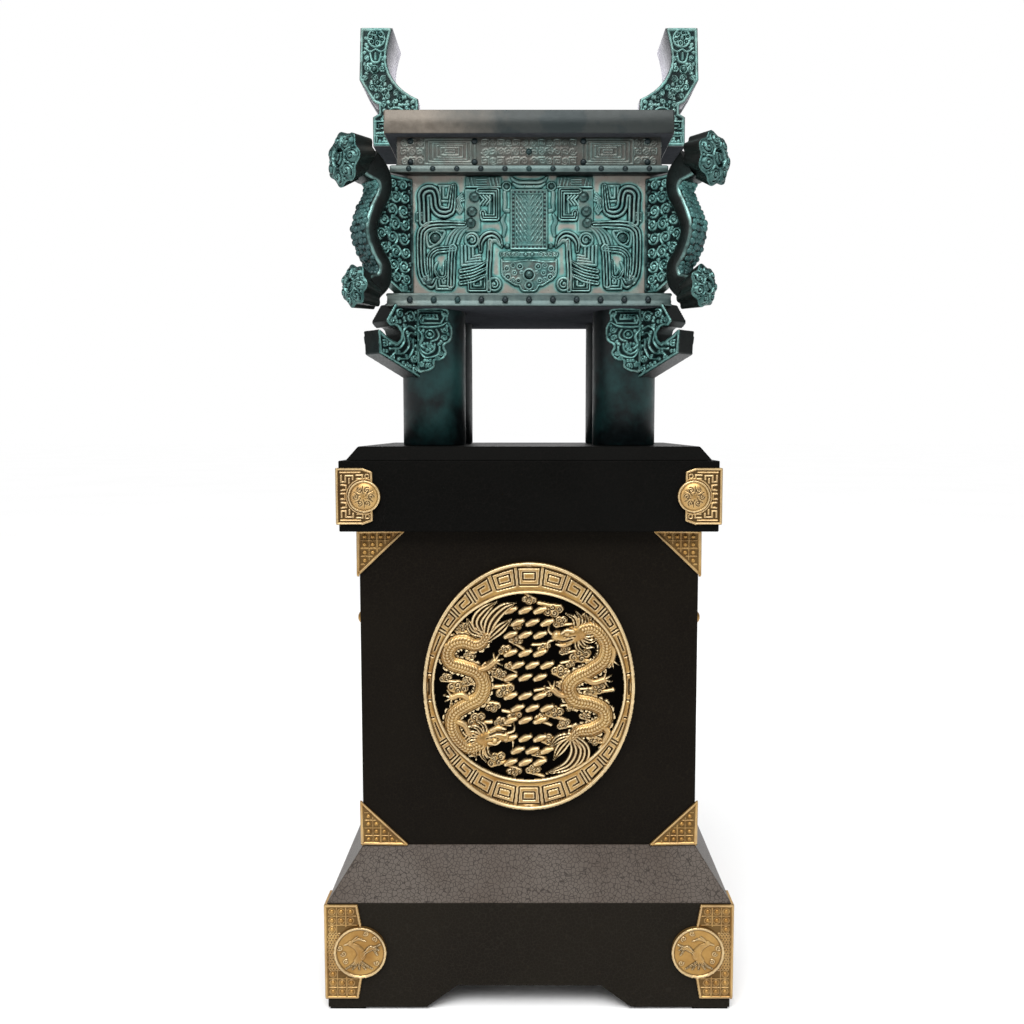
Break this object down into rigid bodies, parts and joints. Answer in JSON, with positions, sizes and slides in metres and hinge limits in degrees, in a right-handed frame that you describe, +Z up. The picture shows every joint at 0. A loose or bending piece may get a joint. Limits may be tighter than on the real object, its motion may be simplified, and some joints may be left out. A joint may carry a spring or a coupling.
{
  "type": "bronze ding vessel",
  "caption": "Rectangular four-legged bronze ding with upright ears and curling corner flanges, on a tall lacquered pedestal with gilt corner plates and a dragon roundel.",
  "frame": {"origin": "on the floor under the middle of the pedestal's footprint", "axes": "+Z up, the front with the roundel faces -Y, +X is to the right as the front is seen"},
  "size_m": [0.694, 0.574, 1.684],
  "materials": {
    "patinated_bronze": "dark green-brown patina, satin, brighter verdigris in the recesses",
    "black_lacquer": "black crackle lacquer, semi-gloss",
    "gilt_brass": "satin antique gilt with dark recesses"
  },
  "bodies": {
    "root": {"ding_vessel": "patinated_bronze", "pedestal_platform": "black_lacquer", "pedestal_cap": "black_lacquer", "pedestal_shaft": "black_lacquer", "pedestal_skirt": "black_lacquer", "pedestal_base": "black_lacquer", "foot_pad_front_left": "black_lacquer", "foot_pad_front_right": "black_lacquer", "foot_pad_back_left": "black_lacquer", "foot_pad_back_right": "black_lacquer", "base_corner_front_left": "gilt_brass", "base_corner_front_right": "gilt_brass", "base_corner_back_left": "gilt_brass", "base_corner_back_right": "gilt_brass", "shaft_low_corner_front_left": "gilt_brass", "shaft_low_corner_front_right": "gilt_brass", "shaft_low_corner_back_left": "gilt_brass", "shaft_low_corner_back_right": "gilt_brass", "shaft_top_corner_front_left": "gilt_brass", "shaft_top_corner_front_right": "gilt_brass", "shaft_top_corner_back_left": "gilt_brass", "shaft_top_corner_back_right": "gilt_brass", "cap_corner_front_left": "gilt_brass", "cap_corner_front_right": "gilt_brass", "cap_corner_back_left": "gilt_brass", "cap_corner_back_right": "gilt_brass", "front_medallion": "gilt_brass", "side_knob_left": "gilt_brass", "side_knob_right": "gilt_brass"}
  },
  "joints": []
}
